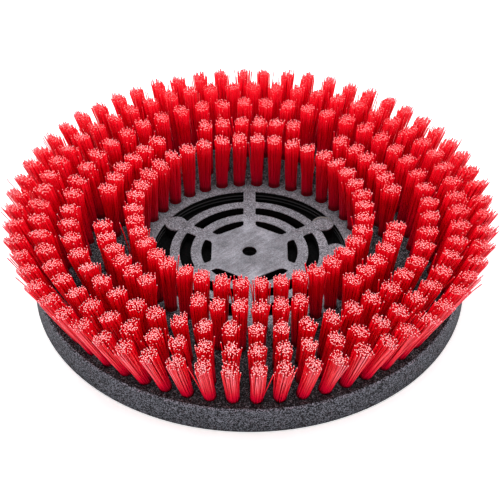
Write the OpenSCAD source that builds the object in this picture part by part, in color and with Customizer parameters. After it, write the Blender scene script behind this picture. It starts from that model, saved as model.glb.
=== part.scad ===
// Rotary disc brush: a moulded block with five rings of bristle tufts on its face, a spoked hub
// with curved slots, and a recessed drive plate with three studs on its back.
// The brush lies on its back, bristles up. Z = 0 is the plane of the back rim.

/* [Block] */
// Diameter of the block at its face
block_d = 280; // [276:1:290]
// Height of the block's side, from the back rim to the face's outer edge
rim_h = 18; // [17:0.5:20]
// Rise of the face from its outer edge to its flat middle
face_rise = 3; // [2:0.5:4]
// Radius where the sloping part of the face meets the flat middle
face_flat_r = 112; // [110:1:116]
// Widening of the block from its face to its back, on the radius
side_draft = 0.8; // [0:0.1:1.5]
// Bevel round the face's outer edge
face_bevel = 1.2; // [0.5:0.1:2]
// Bevel round the back rim
back_bevel = 0.6; // [0.3:0.1:1]

/* [Hub] */
// Thickness of the hub plate
hub_t = 5; // [4:0.5:6]
// Radius of the hollow behind the hub plate, and outer radius of the outer row of slots
well_r = 63.4; // [63:0.1:64.4]
// Width of the six spokes between the slots
spoke_w = 8; // [7:0.2:10]
// Inner radius of the outer row of slots
outer_slot_r = 52; // [50:0.5:53]
// Inner and outer radius of the middle row of slots
middle_slots = [38.4, 45.8]; // [38:0.1:46.2]
// Outer radius of the inner row of slots
inner_slot_r = 31.6; // [30:0.2:33]
// Distance from the axis to the straight edge of the inner slots
inner_slot_flat = 24.8; // [23:0.2:26]
// Size of the slanted corners of the slots
slot_ease = 0.8; // [0.6:0.1:1.4]
// Diameter of the centre hole at the face
centre_d = 9.5; // [9:0.1:10]
// Diameter of the centre hole below its step
centre_step_d = 7.5; // [6:0.1:8]
// Depth of the step in the centre hole
centre_step_h = 3.5; // [3:0.1:4]

/* [Face holes] */
// Diameter of the six holes through the block
face_hole_d = 13.5; // [10:0.5:14]
// Radius of the circle that the six holes lie on
face_hole_r = 90; // [89:0.5:91]

/* [Tufts] */
// Diameter of the tuft holes
tuft_hole_d = 8.4; // [8:0.1:8.6]
// Depth of the tuft holes, along the tuft
tuft_hole_h = 13; // [11:0.5:14]
// Diameter of a tuft at its tips
tip_d = 11.2; // [9:0.1:11.4]
// Gap all round between a tuft and its hole
tuft_gap = 0.05; // [0.02:0.01:0.1]
// Length of an anchor wire, a little more than the hole is wide
anchor_l = 9; // [8.8:0.1:9.2]
// Height of an anchor wire, along the tuft
anchor_h = 2.4; // [2:0.1:3]
// Thickness of an anchor wire
anchor_t = 0.6; // [0.4:0.1:0.8]

/* [Drive plate] */
// Gap between the drive plate and the wall of the hollow
plate_gap = 1.5; // [1:0.1:2.5]
// Thickness of the drive plate
plate_t = 4; // [3.5:0.5:4.5]
// Distance from the back of the hub plate to the drive plate
plate_drop = 3; // [2.8:0.1:3.4]
// Diameter of the hole in the middle of the drive plate
plate_hole_d = 40; // [38:1:42]
// Diameter of the bosses that carry the drive plate
boss_d = 14.4; // [12:0.2:15]
// How far a boss reaches into the wall of the hollow
boss_bite = 0.4; // [0.3:0.1:0.6]
// Radius of the circle that the drive studs lie on
stud_r = 38; // [36:0.5:40]
// Diameter of a drive stud's head
stud_head_d = 16; // [14:0.5:18]
// Diameter of a drive stud's neck
stud_neck_d = 10; // [9:0.5:11]
// Diameter of a screw's thread
screw_d = 4.8; // [4:0.1:5]

/* [Hidden] */
$fn = 96;
tuft_fn = 24;
SECTORS = [1:6];
sector_deg = 60;
face_z = rim_h + face_rise;
hub_z = face_z - hub_t;
block_r = block_d / 2;
spoke_deg = [30:sector_deg:330];
// How far a cutting shape, or the root of a joined one, runs past a surface
past = 1;

// Hexagon whose corners lie on the spokes; its sides are the inner slots' straight edges
hexagon_r = inner_slot_flat / cos(30);
// Places along a spoke's edge where it meets the slots' curved edges, and on which side of each
// the plastic lies: 1 away from the axis, -1 towards it
corner_places = [
    [on_spoke_edge(outer_slot_r), -1],
    [on_spoke_edge(middle_slots[1]), 1],
    [on_spoke_edge(middle_slots[0]), -1],
    [on_spoke_edge(inner_slot_r), 1],
    [hexagon_r - spoke_w / 2 * tan(30), -1],
];
corner_root = 0.3;

// Ridges round the outer wall of the hub, as heights above the back rim
ridge_z = [15.2, 17.8];
ridge_h = 0.8;
ridge_out = 0.5;

// Bosses on three spokes for the drive plate's screws. They stand a little proud of the face.
boss_r = well_r + boss_bite - boss_d / 2;
boss_lip = 0.4;
screw_deg = [30, 150, 270];
// A fourth boss, in the slot at 0 degrees, has a peg that sets the plate's angle
peg_deg = 0;
peg_d = 6;
peg_h = 3;
// Crescent of flash left by the mould on the boss at 30 degrees, thickest on its +Y side
flash_deg = 30;
flash_r = 6.4;
flash_w = 0.7;
flash_h = 0.5;

// Ribs behind the spokes and the collar behind the centre hole
rib_t = 3;
rib_h = 2.4;
collar_d = 20;
collar_h = 6;

// Shallow marks left on the spokes by the mould's ejector pins
pin_mark_d = 6;
pin_mark_r = 34.5;
pin_mark_h = 0.25;

// Drive plate, its screws and its studs
plate_top = hub_z - plate_drop;
plate_back = plate_top - plate_t;
plate_r = well_r - plate_gap;
screw_head_d = 2 * screw_d;
screw_head_h = 3;
socket_d = 4;
socket_h = 1.5;
stud_deg = [90, 210, 330];
stud_back = 1;
stud_head_h = 3.5;
stud_bevel = 1;
shank_d = stud_neck_d - 2;
rivet_h = 1.6;
rivet_d = stud_neck_d + 2;

// Rings of tufts: name, base radius, tip radius, tip height, place of each tuft in degrees
function even(count, first) = [for (i = [0:count - 1]) first + i * 360 / count];
function grouped(size, pitch) =
    [for (s = spoke_deg) for (i = [0:size - 1]) s + (i - (size - 1) / 2) * pitch];
RINGS = [
    ["outer", 131, 149.7, 61.4, even(60, 1.8)],
    ["second", 120, 133.8, 61.4, even(55, 3.5)],
    ["third", 107, 115.1, 60, even(48, 1.9)],
    ["fourth", 91, 93.9, 58.8, grouped(6, 7.5)],
    ["inner", 73.5, 73.8, 58.8, even(38, 0.8)],
];

// Distance along a spoke's edge at which it reaches radius r
function on_spoke_edge(r) = sqrt(r * r - spoke_w * spoke_w / 4);
// Height of the face at radius r
function face_at(r) =
    face_z - max(0, r - face_flat_r) * face_rise / (block_r - face_bevel - face_flat_r);
// Angle by which a ring's tufts lean outwards
function lean(ring) = atan((ring[2] - ring[1]) / (ring[3] - face_at(ring[1])));

// Puts its children at a radius and an angle round the axis
module at(r, deg) {
    rotate(deg) translate([r, 0, 0]) children();
}

// Puts its children at the mouth of one tuft hole, with Z along the tuft
module at_tuft(ring, deg) {
    at(ring[1], deg) translate([0, 0, face_at(ring[1])]) rotate([0, lean(ring), 0]) children();
}

module block_profile() {
    polygon([
        [well_r, 0],
        [block_r + side_draft - back_bevel, 0],
        [block_r + side_draft, back_bevel],
        [block_r, rim_h - face_bevel],
        [block_r - face_bevel, rim_h],
        [face_flat_r, face_z],
        [0, face_z],
        [0, hub_z],
        [well_r, hub_z],
    ]);
}

// The spokes, with diamonds that slant off the corners of the slots beside them
module spokes_2d() {
    for (deg = spoke_deg)
        rotate(deg) {
            translate([0, -spoke_w / 2]) square([well_r + past, spoke_w]);
            for (place = corner_places, side = [-1, 1])
                translate([place[0] + place[1] * corner_root, side * (spoke_w / 2 - corner_root)])
                    circle(r = slot_ease + 2 * corner_root, $fn = 4);
        }
}

module ring_2d(radii) {
    difference() {
        circle(r = radii[1]);
        circle(r = radii[0]);
    }
}

// The three rows of slots, cut by the spokes
module slots() {
    translate([0, 0, hub_z - past]) linear_extrude(hub_t + 2 * past) difference() {
        union() {
            ring_2d([outer_slot_r, well_r]);
            ring_2d(middle_slots);
            difference() {
                circle(r = inner_slot_r);
                rotate(30) circle(r = hexagon_r, $fn = 6);
            }
        }
        spokes_2d();
    }
}

module ridges() {
    rotate_extrude()
        for (z = ridge_z)
            translate([well_r - ridge_out, z - ridge_h / 2]) square([ridge_out + past, ridge_h]);
}

module ribs() {
    for (deg = spoke_deg)
        at(collar_d / 2 - past, deg) translate([0, -rib_t / 2, hub_z - rib_h])
            cube([well_r - collar_d / 2 + 2 * past, rib_t, rib_h + past]);
}

module bosses() {
    for (deg = concat(screw_deg, [peg_deg]))
        at(boss_r, deg) translate([0, 0, plate_top])
            cylinder(d = boss_d, h = face_z - plate_top + boss_lip);
    at(boss_r, peg_deg) translate([0, 0, plate_top - peg_h]) cylinder(d = peg_d, h = peg_h + past);
}

module flash() {
    at(boss_r, flash_deg) translate([0, 0, face_z]) difference() {
        cylinder(r = flash_r, h = boss_lip + flash_h);
        rotate(-flash_deg) translate([0, -flash_w, -past])
            cylinder(r = flash_r, h = boss_lip + flash_h + 2 * past);
    }
}

module tuft_holes() {
    for (ring = RINGS)
        for (deg = ring[4])
            at_tuft(ring, deg) translate([0, 0, -tuft_hole_h])
                cylinder(d = tuft_hole_d, h = tuft_hole_h + tuft_hole_d, $fn = tuft_fn);
}

module centre_hole() {
    translate([0, 0, face_z - centre_step_h]) cylinder(d = centre_d, h = centre_step_h + past);
    translate([0, 0, hub_z - collar_h - past]) cylinder(d = centre_step_d, h = hub_t + collar_h + past);
}

module brush_block() {
    color("dimgray") difference() {
        union() {
            difference() {
                union() {
                    rotate_extrude() block_profile();
                    ribs();
                }
                slots();
            }
            ridges();
            bosses();
            flash();
            translate([0, 0, hub_z - collar_h]) cylinder(d = collar_d, h = collar_h + past);
        }
        centre_hole();
        tuft_holes();
        for (s = SECTORS)
            at(face_hole_r, s * sector_deg) translate([0, 0, -past])
                cylinder(d = face_hole_d, h = face_z + 2 * past);
        for (deg = screw_deg)
            at(boss_r, deg) translate([0, 0, plate_top - past])
                cylinder(d = screw_d + 2 * tuft_gap, h = hub_z - plate_top + 2 * past);
        for (deg = spoke_deg)
            at(pin_mark_r, deg) translate([0, 0, face_z - pin_mark_h])
                cylinder(d = pin_mark_d, h = past);
    }
}

// Flat plate in the hollow behind the hub
module drive_plate() {
    color("black") difference() {
        translate([0, 0, plate_back]) cylinder(r = plate_r, h = plate_t);
        translate([0, 0, plate_back - past]) {
            cylinder(d = plate_hole_d, h = plate_t + 2 * past);
            for (deg = screw_deg)
                at(boss_r, deg) cylinder(d = screw_d + 2 * tuft_gap, h = plate_t + 2 * past);
            for (deg = stud_deg)
                at(stud_r, deg) cylinder(d = shank_d, h = plate_t + 2 * past);
            at(boss_r, peg_deg) cylinder(d = peg_d + 2 * tuft_gap, h = plate_t + 2 * past);
        }
    }
}

// Screws from behind, through the plate into the bosses
module plate_screws() {
    color("silver") for (deg = screw_deg)
        at(boss_r, deg) translate([0, 0, plate_back - screw_head_h]) difference() {
            union() {
                cylinder(d = screw_head_d, h = screw_head_h);
                cylinder(d = screw_d, h = screw_head_h + plate_t + plate_drop);
            }
            translate([0, 0, -past]) cylinder(d = socket_d, h = past + socket_h, $fn = 6);
        }
}

// Mushroom-headed stud, riveted over on the plate's inner face
module drive_stud(deg) {
    color("silver") at(stud_r, deg) rotate_extrude() polygon([
        [0, stud_back],
        [stud_head_d / 2 - stud_bevel, stud_back],
        [stud_head_d / 2, stud_back + stud_bevel],
        [stud_head_d / 2, stud_back + stud_head_h - stud_bevel],
        [stud_neck_d / 2, stud_back + stud_head_h],
        [stud_neck_d / 2, plate_back],
        [shank_d / 2, plate_back],
        [shank_d / 2, plate_top],
        [rivet_d / 2, plate_top],
        [rivet_d / 2 - stud_bevel, plate_top + rivet_h],
        [0, plate_top + rivet_h],
    ]);
}

// Flat wires across the bottoms of one ring's holes
module anchors(ring) {
    color("silver") for (deg = ring[4])
        at_tuft(ring, deg) translate([0, 0, anchor_h - tuft_hole_h])
            cube([anchor_t, anchor_l, anchor_h], center = true);
}

// One bundle of filaments as a solid: straight in its hole, then flaring to its tips
module tuft(ring) {
    root_r = tuft_hole_d / 2 - tuft_gap;
    reach = (ring[3] - face_at(ring[1])) / cos(lean(ring)) + tip_d / 2 * tan(lean(ring));
    difference() {
        union() {
            translate([0, 0, -tuft_hole_h]) cylinder(r = root_r, h = tuft_hole_h, $fn = tuft_fn);
            cylinder(r1 = root_r, r2 = tip_d / 2, h = reach, $fn = tuft_fn);
        }
        translate([0, 0, anchor_h - tuft_hole_h])
            cube([anchor_t, anchor_l, anchor_h], center = true);
    }
}

// The tufts of one ring within one 60 degree sector, trimmed level
module tufts(ring, sector) {
    color("red") intersection() {
        for (deg = ring[4])
            if (floor(deg / sector_deg) == sector - 1) at_tuft(ring, deg) tuft(ring);
        cylinder(r = block_d, h = ring[3]);
    }
}

brush_block();
drive_plate();
plate_screws();
for (i = [1:len(stud_deg)])
    drive_stud(stud_deg[i - 1]);
for (ring = RINGS)
    anchors(ring);
for (ring = RINGS, s = SECTORS)
    tufts(ring, s);
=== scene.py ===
import math

import bpy
import numpy as np
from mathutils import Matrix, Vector


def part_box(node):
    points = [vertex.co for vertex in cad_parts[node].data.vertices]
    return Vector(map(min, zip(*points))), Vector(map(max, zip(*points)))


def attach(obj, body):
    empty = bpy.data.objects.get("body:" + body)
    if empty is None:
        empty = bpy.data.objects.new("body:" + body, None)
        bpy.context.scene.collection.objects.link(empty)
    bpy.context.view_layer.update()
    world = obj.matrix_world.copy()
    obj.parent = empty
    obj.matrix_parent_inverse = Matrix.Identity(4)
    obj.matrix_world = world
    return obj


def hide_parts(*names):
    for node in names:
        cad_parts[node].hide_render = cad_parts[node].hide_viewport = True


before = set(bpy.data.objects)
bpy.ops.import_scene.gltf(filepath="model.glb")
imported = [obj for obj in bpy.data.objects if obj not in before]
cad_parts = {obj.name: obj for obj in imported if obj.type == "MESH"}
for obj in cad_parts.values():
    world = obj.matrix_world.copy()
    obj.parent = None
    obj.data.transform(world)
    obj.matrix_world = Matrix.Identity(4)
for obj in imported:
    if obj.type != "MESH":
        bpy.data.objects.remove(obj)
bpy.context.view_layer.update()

# Lengths are in metres. The brush lies on z = 0, bristles up, with its axis at x = y = 0.

# ---------------------------------------------------------------- block
BLOCK_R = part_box("brush_block")[1][0]
RIM_H = 0.018                 # height of the block's side
FACE_Z = 0.021                # height of the hub plate's face
PLATE_GAP = 0.0015            # between the drive plate and the wall of the hollow round it
WELL_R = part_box("drive_plate")[1][0] + PLATE_GAP
EDGE = 0.0005                 # depth below the face at which a slot's wall counts as inside

# ---------------------------------------------------------------- tufts
RING_NAMES = ("outer", "second", "third", "fourth", "inner")
SECTORS = range(1, 7)
GAP_DEG = 0.4                 # empty angle that separates two tufts of a ring
TIP_LEVEL = 0.00001           # points this close to the highest one belong to a tuft's flat tip

HOLE_DEPTH = 0.013            # the filaments stay bundled for this much of a tuft
HOLE_CLEAR = 0.0006           # between the bottom of a filament and the root of its tuft
STRAIGHT_TO = 0.004           # depth below the hole's mouth from which the filaments are in order
ANCHOR_CLEAR = 0.0007         # how far the filaments keep from the middle of the anchor wire

FILAMENT_R = 0.00035
FILAMENT_SIDES = 5
FILAMENT_PITCH = 0.00077      # spacing of the filaments where they are bundled
PITCH_NOISE = 0.00005         # uneven spacing there
SWIRL = 0.25                  # the most that a tuft twists on its way up, in radians
FAN = np.array([0.88, 0.67])  # a tuft opens more along the brush's radius than across it
EDGE_FAN = 0.50               # how much more its outermost filaments open than its middle
FAN_CURVE = 1.25              # over 1, the filaments leave the hole straight and open later
BOW = 0.00022                 # sideways bow of single filaments
TIP_JITTER = 0.00040          # sideways wander of a filament's tip
TUFT_JITTER = 0.0004          # sideways wander of a whole tuft's tip
STRAY_SHARE = 0.08            # share of filaments that stand apart
STRAY_REACH = 0.0046          # the furthest that they stand out
STRAY_LEAST = 0.4             # the least, as a share of that
STRAY_TRIM = (-0.002, 0.001)  # how their tips' height differs
TUFT_SLANT = 0.0004           # uneven cut across a whole tuft
TRIM_ROUGHNESS = 0.00026      # uneven cut from filament to filament
CUT_ROUGHNESS = 0.00006       # uneven cut across a single filament
SHORT_SHARE = 0.07            # share of filaments that end lower than the trim
SHORT_BY = 0.0050             # the most by which they do
STATIONS = (0.0, 0.4, 0.72, 1.0)  # a filament has rings of points at these shares of its length
OUTWARD_FROM = 0.15           # a filament this share of its tuft's radius further out is outward

# ---------------------------------------------------------------- camera, lights and stage
CAMERA_ELEVATION = math.radians(40.35)
CAMERA_DISTANCE = 6.605 * BLOCK_R
CAMERA_LENS = 102.1
CAMERA_SHIFT = (0.0010, 0.0091)
LIT_POINT = (0.0, 0.0, 0.03)
LIGHTS = (                    # name, place, side in metres, power in watts
    ("key", (0.02, 0.10, 1.1), 0.9, 10.5),
    ("back", (-0.70, 1.0, 0.88), 0.45, 7.5),
    ("front", (0.15, -1.45, 0.32), 0.3, 2.4),
)
WORLD_STRENGTH = 0.50
WHITE = (1.0, 1.0, 1.0)
FLOOR_SIDE = 12.0
FLOOR_Z = -0.0002             # just below the rim that lies on it
FLOOR_GLOW = 0.55             # lifts the floor to white
WALL_R = 5.0
WALL_H = 4.0


def make_camera():
    data = bpy.data.cameras.new("camera")
    data.lens = CAMERA_LENS
    data.sensor_width = 36.0
    data.shift_x, data.shift_y = CAMERA_SHIFT
    data.clip_start = 0.05
    data.clip_end = 20.0
    camera = bpy.data.objects.new("camera", data)
    target = Vector((0.0, 0.0, RIM_H))
    back = Vector((0.0, -math.cos(CAMERA_ELEVATION), math.sin(CAMERA_ELEVATION)))
    camera.location = target + back * CAMERA_DISTANCE
    camera.rotation_euler = (math.pi / 2 - CAMERA_ELEVATION, 0.0, 0.0)
    bpy.context.scene.collection.objects.link(camera)
    bpy.context.scene.camera = camera


def area_light(name, place, size, power):
    data = bpy.data.lights.new(name, "AREA")
    data.shape = "SQUARE"
    data.size = size
    data.energy = power
    light = bpy.data.objects.new(name, data)
    light.location = place
    direction = Vector(LIT_POINT) - Vector(place)
    light.rotation_euler = direction.to_track_quat("-Z", "Y").to_euler()
    bpy.context.scene.collection.objects.link(light)


def make_lights():
    for light in LIGHTS:
        area_light(*light)
    world = bpy.data.worlds.new("studio")
    world.use_nodes = True
    background = world.node_tree.nodes["Background"]
    background.inputs["Color"].default_value = (*WHITE, 1.0)
    background.inputs["Strength"].default_value = WORLD_STRENGTH
    bpy.context.scene.world = world
    view = bpy.context.scene.view_settings
    view.view_transform = "Standard"
    view.look = "None"


# ---------------------------------------------------------------- shader helpers
def new_material(name):
    material = bpy.data.materials.new(name)
    material.use_nodes = True
    tree = material.node_tree
    return material, tree, tree.nodes["Principled BSDF"]


def add(tree, kind, **settings):
    """A new node, with its inputs and its own settings given by name."""
    node = tree.nodes.new(kind)
    for key, value in settings.items():
        if key in node.inputs:
            node.inputs[key].default_value = value
        else:
            setattr(node, key, value)
    return node


def set_input(tree, socket, value):
    """Links a socket to another node's output, or gives it a plain value."""
    if isinstance(value, bpy.types.NodeSocket):
        tree.links.new(value, socket)
    else:
        socket.default_value = value


def object_coords(tree):
    return add(tree, "ShaderNodeTexCoord").outputs["Object"]


def attribute(tree, name):
    return add(tree, "ShaderNodeAttribute", attribute_name=name).outputs["Fac"]


def maths(tree, operation, a, b=0.0):
    node = add(tree, "ShaderNodeMath", operation=operation)
    for socket, value in zip(node.inputs, (a, b)):
        set_input(tree, socket, value)
    return node.outputs["Value"]


def noise(tree, coords, scale, detail=4.0, rough=0.6):
    node = add(tree, "ShaderNodeTexNoise", Scale=scale, Detail=detail, Roughness=rough)
    tree.links.new(coords, node.inputs["Vector"])
    return node.outputs["Fac"]


def cells(tree, coords, scale):
    """A random value for each of many small cells: the grain of a spark-eroded mould."""
    node = add(tree, "ShaderNodeTexVoronoi", Scale=scale)
    tree.links.new(coords, node.inputs["Vector"])
    split = add(tree, "ShaderNodeSeparateColor")
    tree.links.new(node.outputs["Color"], split.inputs["Color"])
    return split.outputs["Red"]


def ramp(tree, fac, stops):
    node = add(tree, "ShaderNodeValToRGB")
    elements = node.color_ramp.elements
    while len(elements) < len(stops):
        elements.new(0.5)
    for element, (place, colour) in zip(elements, stops):
        element.position = place
        element.color = (*colour, 1.0)
    tree.links.new(fac, node.inputs["Fac"])
    return node.outputs["Color"]


def grey(level):
    """The block's grey, which is a little blue."""
    return (level * 0.97, level * 0.98, level * 1.04)


def grey_ramp(tree, fac, *stops):
    return ramp(tree, fac, [(place, grey(level)) for place, level in stops])


def blend_colours(tree, fac, a, b, mode="MIX"):
    node = add(tree, "ShaderNodeMix", data_type="RGBA", blend_type=mode)
    for socket, value in ((node.inputs[0], fac), (node.inputs[6], a), (node.inputs[7], b)):
        set_input(tree, socket, value)
    return node.outputs[2]


def step_down(tree, value, start, end):
    """1 below start, 0 above end, and a straight slope between them."""
    node = add(tree, "ShaderNodeMapRange")
    tree.links.new(value, node.inputs["Value"])
    for key, level in (("From Min", start), ("From Max", end), ("To Min", 1.0), ("To Max", 0.0)):
        node.inputs[key].default_value = level
    return node.outputs["Result"]


def radius_and_height(tree, coords):
    """Distance from the brush's axis and height, as sockets."""
    split = add(tree, "ShaderNodeSeparateXYZ")
    tree.links.new(coords, split.inputs["Vector"])
    x, y, z = (split.outputs[i] for i in range(3))
    squares = maths(tree, "ADD", maths(tree, "MULTIPLY", x, x), maths(tree, "MULTIPLY", y, y))
    return maths(tree, "SQRT", squares), z


def set_bump(tree, shader, height, strength, distance):
    bump = add(tree, "ShaderNodeBump", Strength=strength, Distance=distance)
    tree.links.new(height, bump.inputs["Height"])
    tree.links.new(bump.outputs["Normal"], shader.inputs["Normal"])


# ---------------------------------------------------------------- materials
HUB_R = 0.066                 # the hub's paler grain ends here, and fades over HUB_FADE; outside it the face gets painted shade among the tufts
HUB_FADE = 0.012
RUB_R = 0.024                 # the hub is brushed smooth by use up to here, fading over RUB_FADE
RUB_FADE = 0.016
RUB_ANGLE = math.radians(40)  # the rubbed streaks run this way, RUB_STRETCH as wide as long
RUB_STRETCH = 0.25
RUB_COVER = 0.65              # how much of the grain they hide
STREAK_SHARE = 0.55           # share of streaks in the rubbed part; the rest is blotches
GRAIN_SCALE = 1900.0          # cells per metre
# painted shade: near-black for the shade inside the slots
SLOT_PAINTED_SHADE = (*grey(0.003), 1.0)
# painted highlight: a dim grey line where light catches the ridge on the hollow's wall
RIDGE_PAINTED_HIGHLIGHT = (*grey(0.05), 1.0)
# painted highlight: the lit, pale top of the moulding flash's lip
FLASH_PAINTED_HIGHLIGHT = (0.24, 0.23, 0.20, 1.0)

NYLON_DARK = (0.80, 0.000, 0.010)   # the darkest and the brightest filament
NYLON_BRIGHT = (0.92, 0.000, 0.018)
NYLON_STREAK = (0.93, 0.000, 0.010, 1.0)
# painted highlight: pale pink for the streaks on the outer ring's outward filaments
NYLON_PAINTED_HIGHLIGHT = (0.95, 0.26, 0.32, 1.0)
# painted shade: darker, more purple colour at the filaments' feet
NYLON_FOOT_SHADE = (0.62, 0.000, 0.035, 1.0)
CUT_DULL = (0.97, 0.26, 0.29)       # the dullest and the palest cut end
CUT_PALE = (1.00, 0.52, 0.54)
FOOT_END = 0.22               # share of a filament's free length that gets painted shade at its foot


def rubbed_middle(tree, coords, radius):
    """The hub's middle, brushed smooth by use: its colour, and how far it covers the grain."""
    turn = add(tree, "ShaderNodeMapping", vector_type="TEXTURE", Rotation=(0.0, 0.0, RUB_ANGLE),
               Scale=(1.0, RUB_STRETCH, 1.0))
    tree.links.new(coords, turn.inputs["Vector"])
    streaks = noise(tree, turn.outputs["Vector"], 120.0, 6.0, 0.8)
    blotches = noise(tree, coords, 70.0, 3.0, 0.6)
    mixed = maths(tree, "ADD", maths(tree, "MULTIPLY", streaks, STREAK_SHARE),
                  maths(tree, "MULTIPLY", blotches, 1.0 - STREAK_SHARE))
    colour = grey_ramp(tree, mixed, (0.38, 0.150), (0.50, 0.275), (0.62, 0.500))
    fade = step_down(tree, radius, RUB_R, RUB_R + RUB_FADE)
    return colour, maths(tree, "MULTIPLY", fade, RUB_COVER)


def block_plastic():
    """Grained dark-grey moulded plastic, rubbed paler on the hub. Painted shade makes it black
    inside the slots, darker on the face among the tufts and darker low on the side; painted
    highlights lie along the side's top edge, on a ridge in the slots and on the moulding flash's
    lip.
    """
    material, tree, shader = new_material("block_plastic_grained")
    coords = object_coords(tree)
    radius, z = radius_and_height(tree, coords)
    grain = cells(tree, coords, GRAIN_SCALE)
    clouds = noise(tree, coords, 45.0, 5.0, 0.65)

    side = grey_ramp(tree, grain, (0.20, 0.009), (0.50, 0.050), (0.85, 0.225))
    # painted shade and highlight: the side gets darker towards the floor and lighter in a thin band
    # along its top edge
    rim_painted_shade_and_highlight = grey_ramp(tree, maths(tree, "DIVIDE", z, RIM_H),
                         (0.0, 0.60), (0.4, 0.92), (0.9, 1.0), (0.95, 1.7))
    side = blend_colours(tree, 1.0, side, rim_painted_shade_and_highlight, "MULTIPLY")
    # painted shade: the face among the tufts is much darker than the side and the hub
    face = grey_ramp(tree, grain, (0.30, 0.006), (0.75, 0.055), (0.97, 0.200))
    hub = grey_ramp(tree, grain, (0.05, 0.090), (0.50, 0.190), (0.97, 0.420))
    rubbed, rubbed_fac = rubbed_middle(tree, coords, radius)
    hub = blend_colours(tree, rubbed_fac, hub, rubbed)

    on_face = maths(tree, "GREATER_THAN", z, RIM_H - EDGE / 4)
    on_hub = maths(tree, "MULTIPLY", step_down(tree, radius, HUB_R, HUB_R + HUB_FADE),
                   maths(tree, "GREATER_THAN", z, FACE_Z - EDGE))
    base = blend_colours(tree, on_face, side, face)
    base = blend_colours(tree, on_hub, base, hub)
    cloudy = grey_ramp(tree, clouds, (0.3, 0.75), (0.7, 1.12))
    base = blend_colours(tree, 1.0, base, cloudy, "MULTIPLY")

    # painted shade: black on every surface below the face within the hollow's wall
    below_face = maths(tree, "LESS_THAN", z, FACE_Z - EDGE)
    slots_painted_shade = maths(tree, "MULTIPLY", below_face,
                     maths(tree, "LESS_THAN", radius, WELL_R + 2 * EDGE))
    base = blend_colours(tree, slots_painted_shade, base, SLOT_PAINTED_SHADE)
    # painted highlight: a grey line on the ridge, within the slots' painted shade
    from_ridge = maths(tree, "ABSOLUTE", maths(tree, "SUBTRACT", radius, WELL_R - EDGE))
    ridge_painted_highlight = maths(tree, "MULTIPLY", below_face, maths(tree, "LESS_THAN", from_ridge, EDGE / 2))
    base = blend_colours(tree, ridge_painted_highlight, base, RIDGE_PAINTED_HIGHLIGHT)
    # painted highlight: paler colour on the flash lip that stands above the face
    flash = maths(tree, "GREATER_THAN", z, FACE_Z + EDGE)
    base = blend_colours(tree, flash, base, FLASH_PAINTED_HIGHLIGHT)
    tree.links.new(base, shader.inputs["Base Color"])

    rough = grey_ramp(tree, clouds, (0.3, 0.55), (0.7, 0.75))
    rough = blend_colours(tree, slots_painted_shade, rough, (*WHITE, 1.0))
    tree.links.new(rough, shader.inputs["Roughness"])
    shader.inputs["Specular IOR Level"].default_value = 0.10
    set_bump(tree, shader, grain, 0.8, 0.0003)
    return material


def plate_plastic():
    """Black moulded plastic of the drive plate."""
    material, tree, shader = new_material("plate_plastic_black")
    grain = noise(tree, object_coords(tree), 700.0)
    base = grey_ramp(tree, grain, (0.35, 0.002), (0.65, 0.006))
    tree.links.new(base, shader.inputs["Base Color"])
    shader.inputs["Roughness"].default_value = 1.0
    shader.inputs["Specular IOR Level"].default_value = 0.02
    set_bump(tree, shader, grain, 0.25, 0.0002)
    return material


def steel(name, level):
    """Zinc-plated steel with fine turning marks."""
    material, tree, shader = new_material(name)
    marks = noise(tree, object_coords(tree), 1500.0, 2.0)
    base = grey_ramp(tree, marks, (0.3, level * 0.8), (0.7, level))
    tree.links.new(base, shader.inputs["Base Color"])
    shader.inputs["Metallic"].default_value = 1.0
    rough = grey_ramp(tree, marks, (0.3, 0.25), (0.7, 0.42))
    tree.links.new(rough, shader.inputs["Roughness"])
    return material


def filament_side():
    """Red extruded nylon. Each filament has its own tone. Painted shade makes it darker and more
    purple at its foot, and the outward filaments of the outer ring get pale streaks of painted
    highlight."""
    material, tree, shader = new_material("bristle_red")
    tone = attribute(tree, "tone")
    along = attribute(tree, "along")
    streaks = noise(tree, object_coords(tree), 400.0, 2.0)
    base = ramp(tree, tone, [(0.0, NYLON_DARK), (1.0, NYLON_BRIGHT)])
    base = blend_colours(tree, maths(tree, "MULTIPLY", streaks, 0.5), base, NYLON_STREAK)
    # painted highlight: pale streaks on the outward filaments of the outer ring, above the foot
    pale = maths(tree, "MULTIPLY", attribute(tree, "outward"), step_down(tree, along, 0.85, 0.25))
    painted_highlight_streaks = maths(tree, "MULTIPLY", pale, grey_ramp(tree, tone, (0.30, 0.20), (0.70, 0.85)))
    base = blend_colours(tree, painted_highlight_streaks, base, NYLON_PAINTED_HIGHLIGHT)
    # painted shade: darker and more purple towards the foot, where the tufts shade each other and
    # the block
    purple = maths(tree, "MULTIPLY", step_down(tree, along, FOOT_END / 2, 3 * FOOT_END), 0.7)
    base = blend_colours(tree, purple, base, NYLON_FOOT_SHADE)
    foot = ramp(tree, along, [(0.0, (0.35, 0.35, 0.35)), (FOOT_END / 3, (0.85, 0.85, 0.85)),
                              (FOOT_END, WHITE)])
    base = blend_colours(tree, 1.0, base, foot, "MULTIPLY")
    tree.links.new(base, shader.inputs["Base Color"])
    shader.inputs["Roughness"].default_value = 0.28
    shader.inputs["Specular IOR Level"].default_value = 0.15
    return material


def filament_end():
    """The cut ends, which scatter light and look pale pink."""
    material, tree, shader = new_material("bristle_cut_end")
    base = ramp(tree, attribute(tree, "tone"), [(0.0, CUT_DULL), (1.0, CUT_PALE)])
    tree.links.new(base, shader.inputs["Base Color"])
    shader.inputs["Roughness"].default_value = 0.35
    shader.inputs["Specular IOR Level"].default_value = 1.0
    return material


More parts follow.
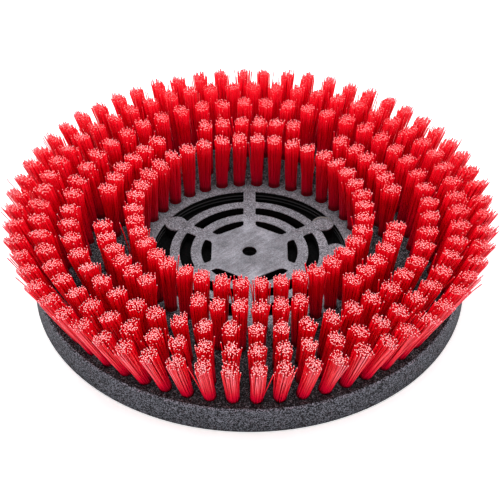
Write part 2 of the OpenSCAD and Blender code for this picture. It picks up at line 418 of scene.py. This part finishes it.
def floor_paint():
    material, tree, shader = new_material("floor_white")
    patches = noise(tree, object_coords(tree), 3.0)
    base = ramp(tree, patches, [(0.3, (0.93, 0.93, 0.93)), (0.7, (0.95, 0.95, 0.95))])
    tree.links.new(base, shader.inputs["Base Color"])
    shader.inputs["Roughness"].default_value = 0.9
    shader.inputs["Emission Color"].default_value = (*WHITE, 1.0)
    shader.inputs["Emission Strength"].default_value = FLOOR_GLOW
    return material


def assign(nodes, material):
    for name in nodes:
        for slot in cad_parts[name].material_slots:
            slot.material = material


# ---------------------------------------------------------------- bristles
def cad_tufts(node):
    """The tufts of one CAD node as (root centre, tip centre, root radius, tip radius)."""
    co = np.array([v.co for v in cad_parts[node].data.vertices], float)
    deg = np.degrees(np.arctan2(co[:, 1], co[:, 0]))
    middle = math.degrees(math.atan2(*reversed(co[:, :2].mean(0))))
    deg = (deg - middle + 180.0) % 360.0 - 180.0
    order = np.argsort(deg)
    cuts = np.flatnonzero(np.diff(deg[order]) > GAP_DEG) + 1
    found = []
    for group in np.split(co[order], cuts):
        low, high = group[:, 2].min(), group[:, 2].max()
        azimuth = math.atan2(group[:, 1].mean(), group[:, 0].mean())
        out = np.array([math.cos(azimuth), math.sin(azimuth), 0.0])
        side = np.array([-math.sin(azimuth), math.cos(azimuth), 0.0])
        tips = group[group[:, 2] > high - TIP_LEVEL]
        tip_r = (tips @ side).max()
        tip = out * ((tips @ out).max() + (tips @ out).min()) / 2 + np.array([0, 0, high])
        roots = group[group[:, 2] < low + HOLE_DEPTH / 3]
        root_r = np.abs(roots @ side).max()
        root = out * ((roots @ out).max() + (roots @ out).min()) / 2
        root += np.array([0, 0, (roots[:, 2].max() + low) / 2])
        found.append((root, tip, root_r, tip_r))
    return found


def lattice(radius, pitch):
    """Points of a close-packed pattern within a circle."""
    rows = int(radius / pitch) + 2
    points = []
    for row in range(-rows, rows + 1):
        for column in range(-rows, rows + 1):
            x = (column + (row % 2) / 2) * pitch
            y = row * pitch * math.sqrt(3) / 2
            if math.hypot(x, y) <= radius:
                points.append((x, y))
    return np.array(points)


def turned(points, angle):
    c, s = math.cos(angle), math.sin(angle)
    return points @ np.array([[c, -s], [s, c]])


def filament_paths(rng, root, tip, root_r, tip_r):
    """One tuft's filaments: their centre lines as an array of (filament, station, xyz), how far
    along each station is, how far outward each filament is, and the tuft's two cross directions."""
    axis = (tip - root) / np.linalg.norm(tip - root)
    side = np.cross([0.0, 0.0, 1.0], axis * [1, 1, 0] + [root[0], root[1], 0.0])
    side /= np.linalg.norm(side)
    out = np.cross(side, axis)
    bundle_r = root_r - FILAMENT_R

    start = turned(lattice(bundle_r, FILAMENT_PITCH), rng.uniform(0, math.pi))
    start += rng.normal(0, PITCH_NOISE, start.shape)
    count = len(start)
    # where each filament would end if the tuft were cut square to its axis
    spread = (tip_r - FILAMENT_R) / bundle_r
    edge = (np.linalg.norm(start, axis=1) / bundle_r)[:, None] ** 3
    end = turned(start, rng.uniform(-SWIRL, SWIRL)) * spread * FAN * (1.0 + EDGE_FAN * edge)
    end += rng.normal(0, TIP_JITTER, end.shape) + rng.normal(0, TUFT_JITTER, 2)
    stray = rng.random(count) < STRAY_SHARE
    angle = rng.uniform(0, 2 * math.pi, count)
    reach = np.where(stray, rng.uniform(STRAY_LEAST, 1.0, count) * STRAY_REACH, 0.0)
    end += np.stack([np.cos(angle), np.sin(angle)], 1) * reach[:, None]
    bow = rng.normal(0, BOW, (count, 2))

    slant = rng.normal(0, TUFT_SLANT, 2) / tip_r
    trim = tip[2] + rng.normal(0, TRIM_ROUGHNESS, count) + end @ slant
    trim += np.where(stray, rng.uniform(*STRAY_TRIM, count), 0.0)
    trim -= np.where(rng.random(count) < SHORT_SHARE, rng.uniform(0.0, SHORT_BY, count), 0.0)

    def across(flat):
        return flat[:, :1] * out + flat[:, 1:] * side

    packed = start.copy()     # pushed aside by the anchor wire
    near = np.abs(packed[:, 0]) < ANCHOR_CLEAR
    packed[near, 0] = np.where(packed[near, 0] < 0, -ANCHOR_CLEAR, ANCHOR_CLEAR)
    mouth = root + axis * HOLE_DEPTH
    level = mouth[2] + across(end)[:, 2]
    length = (trim - level) / axis[2]
    rings = [root + axis * HOLE_CLEAR + across(packed), mouth - axis * STRAIGHT_TO + across(start)]
    for t in STATIONS:
        flat = start + (end - start) * t**FAN_CURVE + bow * math.sin(math.pi * t)
        rings.append(mouth + across(flat) + np.outer(length * t, axis))
    along = np.array([0.0, 0.0, *STATIONS])
    outward = np.clip((start[:, 0] / root_r - OUTWARD_FROM) / (1.0 - OUTWARD_FROM), 0.0, 1.0)
    return np.stack(rings, 1), along, outward, out, side


def tube_faces(first_point, count, stations):
    """The side faces, top ends and bottom ends of a tuft's tubes, as point numbers."""
    ring = np.arange(FILAMENT_SIDES)
    first = first_point + np.arange(count)[:, None, None] * stations * FILAMENT_SIDES
    step = np.arange(stations - 1)[None, :, None] * FILAMENT_SIDES
    a = first + step + ring
    b = first + step + (ring + 1) % FILAMENT_SIDES
    quads = np.stack([a, b, b + FILAMENT_SIDES, a + FILAMENT_SIDES], -1).reshape(-1, 4)
    tops = first[:, 0, :] + (stations - 1) * FILAMENT_SIDES + ring
    bottoms = first[:, 0, :] + ring[::-1]
    return quads, tops, bottoms


def filament_mesh(name, tufts, rng, materials, in_outer_ring):
    """All the filaments of some tufts as one mesh of closed tubes."""
    ring = np.arange(FILAMENT_SIDES)
    points, quads, tops, bottoms = [], [], [], []
    values = {"along": [], "tone": [], "outward": []}
    first_point = 0
    for tuft in tufts:
        paths, along, outward, out, side = filament_paths(rng, *tuft)
        count, stations, _ = paths.shape
        turn = rng.uniform(0, 2 * math.pi, count)[:, None] + 2 * math.pi * ring / FILAMENT_SIDES
        circle = np.cos(turn)[..., None] * out + np.sin(turn)[..., None] * side
        tubes = paths[:, :, None, :] + FILAMENT_R * circle[:, None, :, :]
        tubes[:, -1, :, 2] += rng.normal(0, CUT_ROUGHNESS, (count, FILAMENT_SIDES))
        points.append(tubes.reshape(-1, 3))
        tube_points = stations * FILAMENT_SIDES
        values["along"].append(np.tile(np.repeat(along, FILAMENT_SIDES), count))
        values["tone"].append(np.repeat(rng.random(count), tube_points))
        values["outward"].append(np.repeat(outward * in_outer_ring, tube_points))
        for faces, new in zip((quads, tops, bottoms), tube_faces(first_point, count, stations)):
            faces.append(new)
        first_point += count * tube_points

    points, quads, tops, bottoms = map(np.concatenate, (points, quads, tops, bottoms))
    sizes = np.repeat([4, FILAMENT_SIDES], [len(quads), len(tops) + len(bottoms)])
    is_top = np.zeros(len(sizes), np.int32)
    is_top[len(quads):len(quads) + len(tops)] = 1
    mesh = bpy.data.meshes.new(name)
    mesh.vertices.add(len(points))
    mesh.vertices.foreach_set("co", points.astype(np.float32).ravel())
    loops = np.concatenate([quads.ravel(), tops.ravel(), bottoms.ravel()])
    mesh.loops.add(len(loops))
    mesh.loops.foreach_set("vertex_index", loops.astype(np.int32))
    mesh.polygons.add(len(sizes))
    mesh.polygons.foreach_set("loop_start", (np.cumsum(sizes) - sizes).astype(np.int32))
    mesh.polygons.foreach_set("material_index", is_top)
    mesh.polygons.foreach_set("use_smooth", np.arange(len(sizes)) < len(quads))
    for key, parts in values.items():
        layer = mesh.attributes.new(key, "FLOAT", "POINT")
        layer.data.foreach_set("value", np.concatenate(parts).astype(np.float32))
    mesh.update(calc_edges=True)
    for material in materials:
        mesh.materials.append(material)
    piece = bpy.data.objects.new(name, mesh)
    bpy.context.scene.collection.objects.link(piece)
    return piece


def make_bristles():
    materials = (filament_side(), filament_end())
    for number, ring in enumerate(RING_NAMES):
        for sector in SECTORS:
            node = f"tufts_{ring}_{sector}"
            rng = np.random.default_rng(100 * number + sector)
            piece = filament_mesh(f"bristles_{ring}_{sector}", cad_tufts(node), rng, materials,
                                  float(ring == "outer"))
            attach(piece, "root")
            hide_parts(node)


# ---------------------------------------------------------------- stage
def make_stage():
    """A white floor, and a white wall round it that only the camera sees."""
    paint = floor_paint()
    bpy.ops.mesh.primitive_plane_add(size=FLOOR_SIDE, location=(0, 0, FLOOR_Z))
    floor = bpy.context.object
    floor.name = "floor"
    bpy.ops.mesh.primitive_cylinder_add(vertices=96, radius=WALL_R, depth=WALL_H,
                                        end_fill_type="NOTHING",
                                        location=(0, 0, FLOOR_Z + WALL_H / 2))
    wall = bpy.context.object
    wall.name = "wall"
    wall.visible_diffuse = wall.visible_glossy = False
    wall.visible_transmission = wall.visible_shadow = False
    for piece in (floor, wall):
        piece.data.materials.append(paint)


make_camera()
make_lights()
make_stage()
assign(["brush_block"], block_plastic())
assign(["drive_plate"], plate_plastic())
assign(["plate_screws", "drive_stud_1", "drive_stud_2", "drive_stud_3"], steel("steel_zinc", 0.55))
assign([f"anchors_{ring}" for ring in RING_NAMES], steel("anchor_wire_steel", 0.6))
make_bristles()
